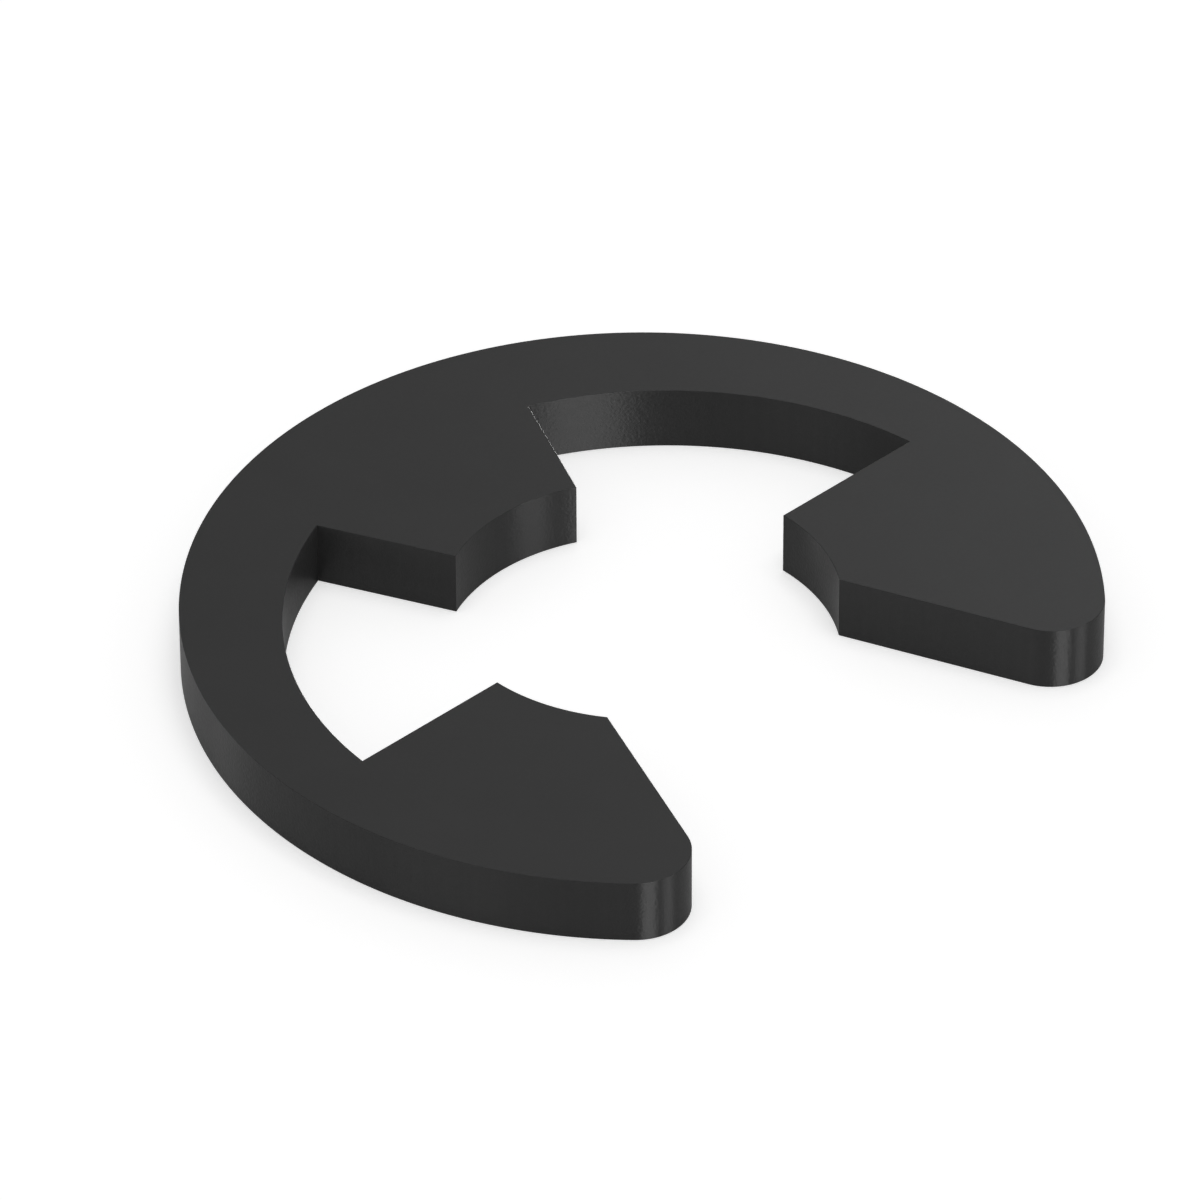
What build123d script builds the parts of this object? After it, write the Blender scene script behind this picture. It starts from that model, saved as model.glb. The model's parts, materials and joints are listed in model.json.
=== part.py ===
from build123d import *
from math import radians, sqrt, tan
import os

# E clip: an open retaining ring that is pushed sideways into a groove in a shaft, where its middle prong
# and its two lugs grip the groove's floor. It is one flat piece, stamped from spring steel strip.
# The origin is on the shaft's axis at the clip's lower face. +Z points along the axis, the mouth opens
# towards -Y, and the clip's two halves mirror each other across the YZ plane.

# Driving dimensions, with lengths in millimetres and angles in degrees
outer_diameter = 9.3
thickness = 0.7
bore_diameter = 4.02  # across the three grip arcs, for a groove 4 mm in diameter
rim_width = 1.16  # of the spring rim at the back, behind the middle prong
window_offset = 0.37  # from the shaft's axis to the centre of the windows' arcs, towards the mouth
prong_angle = 50.0  # between the two flanks of the middle prong
lug_angle = 90.0  # from the clip's centreline at the mouth to a lug's flank at the window
throat_width = 3.26  # of the mouth where it meets the bore
mouth_angle = 44.0  # between the two flanks of the mouth
tip_radius = 0.55  # of the round tip on each lug

outer_radius = outer_diameter / 2
bore_radius = bore_diameter / 2
window_radius = outer_radius - rim_width + window_offset

# The throat's corners lie on the bore, or on its diameter if the throat is as wide as the bore.
throat_depth = sqrt(max(bore_radius**2 - (throat_width / 2) ** 2, 0.0))
mouth_slope = tan(radians(mouth_angle / 2))
mouth_half_width_at_axis = throat_width / 2 - throat_depth * mouth_slope
mouth_half_width_outside = mouth_half_width_at_axis + outer_diameter * mouth_slope

# The two windows, each a wedge between the middle prong and a lug, closed by an arc along the rim
with BuildSketch() as windows:
    with BuildLine():
        prong_flank = PolarLine((0, 0), outer_diameter, 90 - prong_angle / 2)
        lug_flank = PolarLine((0, 0), outer_diameter, lug_angle - 90)
        Line(prong_flank @ 1, lug_flank @ 1)
    make_face()
    mirror(about=Plane.YZ)
    with Locations((0, -window_offset)):
        Circle(window_radius, mode=Mode.INTERSECT)

# The mouth, which widens from the bore to beyond the rim
with BuildSketch() as mouth:
    with BuildLine():
        Polyline(
            (-mouth_half_width_at_axis, 0),
            (mouth_half_width_at_axis, 0),
            (mouth_half_width_outside, -outer_diameter),
            (-mouth_half_width_outside, -outer_diameter),
            close=True,
        )
    make_face()

with BuildPart() as e_clip:
    with BuildSketch() as outline:
        Circle(outer_radius)
        Circle(bore_radius, mode=Mode.SUBTRACT)
        add(windows.sketch, mode=Mode.SUBTRACT)
        add(mouth.sketch, mode=Mode.SUBTRACT)
        tips = outline.vertices().group_by(Axis.Y)[0]
        fillet(tips, tip_radius)
    extrude(amount=thickness)

e_clip.part.label = "e_clip"
os.makedirs("parts", exist_ok=True)
export_step(e_clip.part, "parts/e_clip.step")
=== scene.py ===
import json
from math import atan2, cos, degrees, pi, radians, sin, sqrt

import bmesh
import bpy
import numpy as np
from mathutils import Matrix, Vector


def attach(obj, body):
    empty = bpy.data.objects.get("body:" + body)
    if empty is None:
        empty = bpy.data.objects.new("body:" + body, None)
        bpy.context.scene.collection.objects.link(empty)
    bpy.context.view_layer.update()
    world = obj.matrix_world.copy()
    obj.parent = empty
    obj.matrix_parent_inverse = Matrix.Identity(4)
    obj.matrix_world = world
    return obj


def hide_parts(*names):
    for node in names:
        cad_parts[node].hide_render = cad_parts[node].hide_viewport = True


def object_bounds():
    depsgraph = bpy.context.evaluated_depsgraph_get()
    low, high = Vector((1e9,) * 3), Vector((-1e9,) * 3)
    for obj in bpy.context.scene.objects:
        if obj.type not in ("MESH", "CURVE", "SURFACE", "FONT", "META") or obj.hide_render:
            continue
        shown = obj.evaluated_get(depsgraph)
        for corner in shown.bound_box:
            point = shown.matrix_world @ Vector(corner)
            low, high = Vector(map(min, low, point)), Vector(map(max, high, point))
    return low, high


# E clip: an open retaining ring of blackened spring steel, lying on a white table. The frame's origin is on
# the axis of the shaft that it grips, at its lower face; the mouth opens towards -Y. Lengths are in metres.

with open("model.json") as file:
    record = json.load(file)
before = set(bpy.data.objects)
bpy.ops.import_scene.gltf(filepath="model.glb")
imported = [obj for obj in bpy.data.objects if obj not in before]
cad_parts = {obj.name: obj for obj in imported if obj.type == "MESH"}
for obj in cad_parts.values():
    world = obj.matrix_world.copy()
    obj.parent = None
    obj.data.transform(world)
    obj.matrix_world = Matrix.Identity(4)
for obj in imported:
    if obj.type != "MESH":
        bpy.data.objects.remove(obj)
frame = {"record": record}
cad_low, cad_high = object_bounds()

MM = 0.001
UM = 0.001 * MM

# The stamped blank, with the sizes of the clip's solid
grip = next(mount for mount in frame["record"]["mounts"] if mount["name"] == "groove_grip")
BORE_RADIUS = grip["dims"]["r_mm"] * MM
THICKNESS = grip["dims"]["length_mm"] * MM
RIM_RADIUS = 9.3 / 2 * MM
RIM_WIDTH = 1.16 * MM
WINDOW_OFFSET = 0.37 * MM
WINDOW_RADIUS = RIM_RADIUS - RIM_WIDTH + WINDOW_OFFSET
PRONG_ANGLE = 50.0
LUG_ANGLE = 90.0
THROAT_WIDTH = 3.26 * MM
MOUTH_ANGLE = 44.0
TIP_RADIUS = 0.55 * MM

# Tumbling takes the razor edge off the two faces' outlines.
EDGE_RADIUS = 6 * UM
EDGE_STEPS = 4
WALL_STEPS = 4
ACROSS_STEPS = 6


# ---------------------------------------------------------------- the clip's outline

def polar(radius, angle):
    """The point or points at this radius and these angles, in degrees, about the shaft's axis."""
    turn = np.radians(angle)
    return np.stack([radius * np.cos(turn), radius * np.sin(turn)], -1)


def arc(centre, radius, start, end, steps, side):
    """Points evenly along a circle's arc from angle start to end, in degrees, and the steel's outward normals
    there, which point away from the circle's centre where side is 1 and towards it where side is -1."""
    away = polar(1.0, np.linspace(start, end, steps + 1))
    return centre + radius * away, side * away


def line(start, end, steps, outward):
    """Points evenly along a straight line, each with the same outward normal."""
    share = np.linspace(0, 1, steps + 1)[:, None]
    return start + share * (end - start), np.broadcast_to(outward, (steps + 1, 2))


def chain(segments):
    """Segments joined end to end, each point kept once: the points, and the outward normals of the lines that
    arrive at and leave each of them, which differ at a corner."""
    points = np.concatenate([p[:-1] for p, _ in segments] + [segments[-1][0][-1:]])
    arriving = np.concatenate([segments[0][1][:1]] + [n[1:] for _, n in segments])
    leaving = np.concatenate([n[:-1] for _, n in segments] + [segments[-1][1][-1:]])
    return np.stack([points, arriving, leaving])


def turned_round(outline):
    """The same outline, run the other way."""
    return outline[[0, 2, 1], ::-1]


def with_left_half(outline):
    """The right half's outline, run on along its mirror image to the left tip."""
    left = turned_round(outline) * np.array([-1.0, 1.0])
    return np.concatenate([outline[:, :-1], turn_at_centre(outline, left), left[:, 1:]], 1)


def turn_at_centre(right, left):
    """The one point that both halves share, with each half's own normal."""
    return np.stack([right[0, -1:], right[1, -1:], left[2, :1]])


def drawn_in(outline, inset):
    """The outline's points moved into the steel by the inset. At a corner both lines move by that much, so
    the step is the mitre (a + b) / (1 + a . b) for the two normals a and b."""
    points, arriving, leaving = outline
    mitre = (arriving + leaving) / (1 + (arriving * leaving).sum(1, keepdims=True))
    return points - inset * mitre


def outlines():
    """The inner outline and the rim, each from the right tip round the back to the left tip, with as many
    points each, so that point i of one faces point i of the other across the steel. The rim's stations
    aren't at the angles of the corners that they face, so that no line between the two leaves the steel."""
    mouth_half = radians(MOUTH_ANGLE / 2)
    flank_run = np.array([sin(mouth_half), -cos(mouth_half)])
    flank_out = np.array([-cos(mouth_half), -sin(mouth_half)])
    throat = np.array([THROAT_WIDTH / 2, -sqrt(BORE_RADIUS**2 - (THROAT_WIDTH / 2) ** 2)])
    throat_at = degrees(atan2(throat[1], throat[0]))

    # The tip's circle touches the mouth's flank and the rim from inside.
    flank_distance = throat @ flank_out
    centre_across = flank_distance - TIP_RADIUS
    centre_along = sqrt((RIM_RADIUS - TIP_RADIUS) ** 2 - centre_across**2)
    tip = centre_across * flank_out + centre_along * flank_run
    tip_on_rim = degrees(atan2(tip[1], tip[0]))
    tip_on_flank = -180 + MOUTH_ANGLE / 2
    tip_front = (tip_on_rim + tip_on_flank) / 2

    lug_at = LUG_ANGLE - 90
    prong_at = 90 - PRONG_ANGLE / 2
    lug_out = polar(1.0, lug_at + 90)
    prong_out = polar(1.0, prong_at - 90)
    window = np.array([0.0, -WINDOW_OFFSET])

    def window_corner(angle):
        """Where the window's arc meets a flank that runs out from the shaft's axis at this angle."""
        run = polar(1.0, angle)
        along = run @ window
        reach = along + sqrt(along**2 - window @ window + WINDOW_RADIUS**2)
        return reach * run

    lug_corner = window_corner(lug_at)
    prong_corner = window_corner(prong_at)
    lug_corner_at = degrees(atan2(*(lug_corner - window)[::-1]))
    prong_corner_at = degrees(atan2(*(prong_corner - window)[::-1]))

    inner = [
        arc(tip, TIP_RADIUS, tip_front, tip_on_flank, 22, 1),
        line(tip + TIP_RADIUS * flank_out, throat, 26, flank_out),
        arc(0, BORE_RADIUS, throat_at, lug_at, 16, -1),
        line(polar(BORE_RADIUS, lug_at), lug_corner, 16, lug_out),
        arc(window, WINDOW_RADIUS, lug_corner_at, prong_corner_at, 60, -1),
        line(prong_corner, polar(BORE_RADIUS, prong_at), 14, prong_out),
        arc(0, BORE_RADIUS, prong_at, 90, 12, -1),
    ]
    stations = [tip_on_rim, throat_at + 6, lug_at - 15, lug_at - 3, prong_at + 3, prong_at + 14, 90]
    rim = [arc(tip, TIP_RADIUS, tip_front, tip_on_rim, 22, 1)] + [
        arc(0, RIM_RADIUS, start, end, len(opposite[0]) - 1, 1)
        for start, end, opposite in zip(stations[:-1], stations[1:], inner[1:])
    ]
    return with_left_half(chain(inner)), with_left_half(chain(rim))


# ---------------------------------------------------------------- the clip's surface

def quads(sheet, closed=False):
    """The corner numbers of a sheet's faces, whose points are numbered row by row."""
    rows, columns = sheet.shape[:2]
    row, column = np.meshgrid(np.arange(rows - 1), np.arange(columns - (not closed)), indexing="ij")
    beside = (column + 1) % columns
    corners = [row * columns + column, row * columns + beside]
    corners += [(row + 1) * columns + beside, (row + 1) * columns + column]
    return np.stack(corners, -1)


def face_sheet(inner, rim, height, up):
    """A flat face: straight lines across the steel from the inner outline to the rim, both drawn in by the
    edge's radius. Its two parameters are the share of the way across and the place along the clip."""
    inside, outside = drawn_in(inner, EDGE_RADIUS), drawn_in(rim, EDGE_RADIUS)
    share = np.linspace(0, 1, ACROSS_STEPS + 1)[:, None, None]
    flat = (1 - share) * inside + share * outside
    sheet = np.concatenate([flat, np.full(flat.shape[:2] + (1,), height)], -1)
    corners = quads(sheet)[..., :: -1 if up else 1]
    normals = np.broadcast_to([0.0, 0.0, 1.0 if up else -1.0], corners.shape + (3,))
    return sheet, corners, normals


def wall_sheet(inner, rim):
    """The sheared wall, with its two rounded edges: a profile carried round the whole outline. The profile
    goes up a quarter circle, a straight wall and a quarter circle; its two parameters are the place up the
    profile and the place round the outline. A face's normals are those of its own stretch of the outline,
    tipped as the profile is, so that the wall's corners stay sharp and its curves smooth."""
    outline = np.concatenate([rim[:, :-1], turned_round(inner)[:, :-1]], 1)
    turn = np.linspace(0, pi / 2, EDGE_STEPS + 1)
    rise = EDGE_RADIUS * (1 - np.cos(turn))
    draw = EDGE_RADIUS * (1 - np.sin(turn))
    straight = np.linspace(EDGE_RADIUS, THICKNESS - EDGE_RADIUS, WALL_STEPS + 1)[1:-1]
    heights = np.concatenate([rise, straight, THICKNESS - rise[::-1]])
    insets = np.concatenate([draw, 0 * straight, draw[::-1]])
    tips = np.concatenate([turn - pi / 2, 0 * straight, pi / 2 - turn[::-1]])

    loop = np.stack([drawn_in(outline, inset) for inset in insets])
    sheet = np.concatenate([loop, np.broadcast_to(heights[:, None, None], loop.shape[:2] + (1,))], -1)
    corners = quads(sheet, closed=True)
    near, far = outline[2], np.roll(outline[1], -1, 0)
    sideways = np.stack([near, far, far, near], 1)
    tip = np.stack([tips[:-1], tips[:-1], tips[1:], tips[1:]], 1)[:, None, :, None]
    lean, lift = np.broadcast_arrays(np.cos(tip), np.sin(tip), subok=True)
    normals = np.concatenate([lean * sideways, np.broadcast_to(lift, corners.shape + (1,))], -1)
    return sheet, corners, normals


def make_clip():
    """The clip: its lower face, upper face and wall, welded into one closed skin. Each face carries its
    sheet's own normals, so that the flat faces shade flat right up to their rounded edges."""
    inner, rim = outlines()
    sheets = [
        face_sheet(inner, rim, 0.0, up=False),
        face_sheet(inner, rim, THICKNESS, up=True),
        wall_sheet(inner, rim),
    ]
    starts = np.cumsum([0] + [sheet[..., 0].size for sheet, _, _ in sheets])
    corners = np.concatenate([start + c.reshape(-1, 4) for start, (_, c, _) in zip(starts, sheets)])
    normals = np.concatenate([n.reshape(-1, 3) for _, _, n in sheets])
    finish = np.repeat([0, 0, 1], [c[..., 0].size for _, c, _ in sheets])

    mesh = bpy.data.meshes.new("e_clip_steel")
    mesh.from_pydata(np.concatenate([sheet.reshape(-1, 3) for sheet, _, _ in sheets]), [], corners)
    mesh.polygons.foreach_set("material_index", finish)
    mesh.attributes.new("facing", "FLOAT_VECTOR", "CORNER").data.foreach_set("vector", normals.ravel())

    skin = bmesh.new()
    skin.from_mesh(mesh)
    bmesh.ops.remove_doubles(skin, verts=skin.verts, dist=0.1 * UM)
    skin.to_mesh(mesh)
    skin.free()
    mesh.shade_smooth()
    kept = np.empty(3 * len(mesh.loops))
    mesh.attributes["facing"].data.foreach_get("vector", kept)
    mesh.attributes.remove(mesh.attributes["facing"])
    mesh.normals_split_custom_set(kept.reshape(-1, 3))

    clip = bpy.data.objects.new("e_clip_steel", mesh)
    bpy.context.scene.collection.objects.link(clip)
    return clip


# ---------------------------------------------------------------- materials

def linear(code):
    """The linear colour of an sRGB hex value, with full alpha."""
    parts = [int(code[i : i + 2], 16) / 255 for i in (1, 3, 5)]
    return [p / 12.92 if p <= 0.04045 else ((p + 0.055) / 1.055) ** 2.4 for p in parts] + [1.0]


def add_node(tree, kind, inputs=None, **settings):
    """Adds a node with these settings. Each input is a value, or the output that it is linked from."""
    made = tree.nodes.new(kind)
    for name, value in settings.items():
        setattr(made, name, value)
    for socket, value in (inputs or {}).items():
        if isinstance(value, bpy.types.NodeSocket):
            tree.links.new(value, made.inputs[socket])
        else:
            made.inputs[socket].default_value = value
    return made


def new_material(name):
    material = bpy.data.materials.new(name)
    material.use_nodes = True
    material.node_tree.nodes.clear()
    return material, material.node_tree


def noise(tree, width, run=(1, 1, 1), **settings):
    """Noise whose patches are about this wide, in metres, and longer along an axis where its run is under 1.
    It lies in the clip's own space."""
    place = add_node(tree, "ShaderNodeTexCoord").outputs["Object"]
    along = add_node(tree, "ShaderNodeMapping", {"Vector": place, "Scale": run}).outputs["Vector"]
    inputs = {"Vector": along, "Scale": 0.5 / width, **settings}
    return add_node(tree, "ShaderNodeTexNoise", inputs).outputs["Fac"]


def spread(tree, value, low, high):
    """Noise, which rarely leaves 0.3 to 0.7, laid out between two numbers."""
    limits = {"From Min": 0.3, "From Max": 0.7, "To Min": low, "To Max": high}
    return add_node(tree, "ShaderNodeMapRange", {"Value": value, **limits}).outputs["Result"]


def phosphated_steel(name, clouds, dark, light, dull, crystal, crystal_height, specular):
    """Spring steel under a thin coat of phosphate crystals, steeped in black oil. No bare metal shows
    through: it is a matt, neutral near-black, a little uneven where the crystals took more thickly.

    The crystals are 5 to 15 microns across, too fine to show, and are drawn about twice as large."""
    material, tree = new_material(name)
    thickly = noise(tree, **clouds, Detail=3.0, Roughness=0.6)
    colour = add_node(
        tree,
        "ShaderNodeMix",
        {0: spread(tree, thickly, 0, 1), 6: linear(dark), 7: linear(light)},
        data_type="RGBA",
    ).outputs[2]
    crystals = noise(tree, crystal, Detail=1.0)
    relief = add_node(
        tree, "ShaderNodeBump", {"Height": crystals, "Strength": 1.0, "Distance": crystal_height}
    ).outputs["Normal"]
    shader = add_node(
        tree,
        "ShaderNodeBsdfPrincipled",
        {
            "Base Color": colour,
            "Roughness": spread(tree, crystals, dull - 0.02, dull + 0.02),
            "Specular IOR Level": specular,
            "Normal": relief,
        },
    )
    add_node(tree, "ShaderNodeOutputMaterial", {"Surface": shader.outputs["BSDF"]})
    return material, tree, shader, relief


def rolled_face():
    """The strip's rolled faces, smooth and even: only the coat's faint clouds and crystals show."""
    clouds = {"width": 0.5 * MM}
    # The faces' coat is painted a shade darker than the sheared wall's (#393939 to #3B3B3B). The tone between
    # the two is painted light, not a real difference in the coat.
    return phosphated_steel(
        "phosphated_rolled_face", clouds, "#323232", "#343434", 0.5, 25 * UM, 0.2 * UM, 0.12
    )[0]


def sheared_wall():
    """The wall that the punch and die sheared. Their fine lines, here 40 microns apart, run straight up it
    and draw a highlight out into an upright band."""
    lines = {"width": 40 * UM, "run": (1, 1, 0.04)}
    # The wall's coat is painted lighter than the rolled faces' (#323232 to #343434). This is painted light
    # that brightens the walls, not a real difference in the coat.
    material, tree, shader, crystals = phosphated_steel(
        "phosphated_sheared_wall", lines, "#393939", "#3B3B3B", 0.42, 16 * UM, 2 * UM, 0.14
    )
    scores = noise(tree, **lines, Detail=1.0)
    relief = add_node(
        tree, "ShaderNodeBump", {"Height": scores, "Strength": 1.0, "Distance": 0.1 * UM, "Normal": crystals}
    )
    tree.links.new(relief.outputs["Normal"], shader.inputs["Normal"])

    upright = add_node(tree, "ShaderNodeCombineXYZ", {"Z": 1.0})
    grain = add_node(
        tree,
        "ShaderNodeVectorTransform",
        {"Vector": upright.outputs["Vector"]},
        vector_type="VECTOR",
        convert_from="OBJECT",
        convert_to="WORLD",
    )
    tree.links.new(grain.outputs["Vector"], shader.inputs["Tangent"])
    shader.inputs["Anisotropic"].default_value = 1.0
    return material


def white_table():
    """Matt white laminate. What the camera and reflections see of it is lifted to full white."""
    lift_to_white = 0.48
    material, tree = new_material("white_table")
    seen = add_node(tree, "ShaderNodeLightPath")
    direct = add_node(
        tree,
        "ShaderNodeMath",
        {0: seen.outputs["Is Camera Ray"], 1: seen.outputs["Is Glossy Ray"]},
        operation="MAXIMUM",
    )
    direct = add_node(
        tree,
        "ShaderNodeMath",
        {0: direct.outputs[0], 1: seen.outputs["Is Transmission Ray"]},
        operation="MAXIMUM",
    )
    lift = add_node(
        tree, "ShaderNodeMath", {0: direct.outputs[0], 1: lift_to_white}, operation="MULTIPLY"
    )
    shader = add_node(
        tree,
        "ShaderNodeBsdfPrincipled",
        {
            "Base Color": linear("#EBEBEB"),
            "Roughness": 1.0,
            "Specular IOR Level": 0.0,
            "Emission Color": (1, 1, 1, 1),
            "Emission Strength": lift.outputs[0],
        },
    )
    add_node(tree, "ShaderNodeOutputMaterial", {"Surface": shader.outputs[0]})
    return material


# ---------------------------------------------------------------- the set

LAMP_DISTANCE = 120 * MM
CLIP_MIDDLE = Vector((0, 0.6 * MM, 0))


def make_table():
    """A flat sheet just under the clip, so that the two don't lie in one plane."""
    half = 250 * MM
    mesh = bpy.data.meshes.new("table")
    corners = [(-half, -half, 0), (half, -half, 0), (half, half, 0), (-half, half, 0)]
    mesh.from_pydata([(x, y, -2 * UM) for x, y, _ in corners], [], [(0, 1, 2, 3)])
    mesh.materials.append(white_table())
    table = bpy.data.objects.new("table", mesh)
    bpy.context.scene.collection.objects.link(table)


def soft_box(name, azimuth, elevation, width, height, strength, lights_coat=True):
    """A soft box facing the clip. Its azimuth goes from -Y, the mouth's side, towards +X. A lamp gives pi
    watts for each square metre of its front and each unit of strength, where 1 is white. One that doesn't
    light the coat itself is seen only in its gloss."""
    lamp = bpy.data.lights.new(name, "AREA")
    lamp.shape = "RECTANGLE"
    lamp.size, lamp.size_y = width, height
    lamp.energy = pi * width * height * strength
    box = bpy.data.objects.new(name, lamp)
    bpy.context.scene.collection.objects.link(box)
    box.matrix_world = facing(azimuth, elevation, 0, LAMP_DISTANCE, CLIP_MIDDLE)
    box.visible_camera = False
    box.visible_diffuse = lights_coat


def facing(azimuth, elevation, roll, distance, centre):
    """The place and turn of a lamp or camera that looks at a centre from this direction, in degrees."""
    a, e, r = radians(azimuth), radians(elevation), radians(roll)
    back = Vector((sin(a) * cos(e), -cos(a) * cos(e), sin(e)))
    level = Vector((cos(a), sin(a), 0))
    across = cos(r) * level + sin(r) * back.cross(level)
    turn = Matrix((across, back.cross(across), back)).transposed().to_4x4()
    return Matrix.Translation(centre + distance * back) @ turn


def make_camera():
    """A long lens aimed at the middle of the clip, from the mouth's left and well above the table."""
    lens = bpy.data.cameras.new("camera")
    lens.sensor_width = 36
    lens.lens = 299.6
    lens.clip_start, lens.clip_end = 10 * MM, 2
    camera = bpy.data.objects.new("camera", lens)
    bpy.context.scene.collection.objects.link(camera)
    camera.matrix_world = facing(-44.04, 36.51, -0.27, 100.84 * MM, (cad_low + cad_high) / 2)
    bpy.context.scene.camera = camera


def make_world():
    """An even pale grey all round."""
    world = bpy.data.worlds.new("studio")
    world.use_nodes = True
    world.node_tree.nodes.clear()
    sky = add_node(world.node_tree, "ShaderNodeBackground", {"Color": (1, 1, 1, 1), "Strength": 0.33})
    add_node(world.node_tree, "ShaderNodeOutputWorld", {"Surface": sky.outputs[0]})
    bpy.context.scene.world = world


clip = make_clip()
clip.data.materials.append(rolled_face())
clip.data.materials.append(sheared_wall())
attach(clip, "root")
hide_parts("e_clip")

make_table()
# Two lamps light the clip. Five low strips then draw the upright bands on its curved walls.
soft_box("overhead", 0, 85, 80 * MM, 80 * MM, 2.6)
soft_box("behind", 136, 36.5, 60 * MM, 60 * MM, 0.25)
soft_box("front_strip", -20, 5, 54 * MM, 16 * MM, 88, lights_coat=False)
soft_box("front_right_strip", 16, 5, 42 * MM, 16 * MM, 46, lights_coat=False)
soft_box("right_strip", 120, 5, 21 * MM, 16 * MM, 90, lights_coat=False)
soft_box("left_strip", -150, 5, 22 * MM, 16 * MM, 13, lights_coat=False)
soft_box("left_front_strip", -85, 5, 60 * MM, 16 * MM, 6, lights_coat=False)
make_world()
make_camera()
bpy.context.scene.view_settings.view_transform = "Standard"
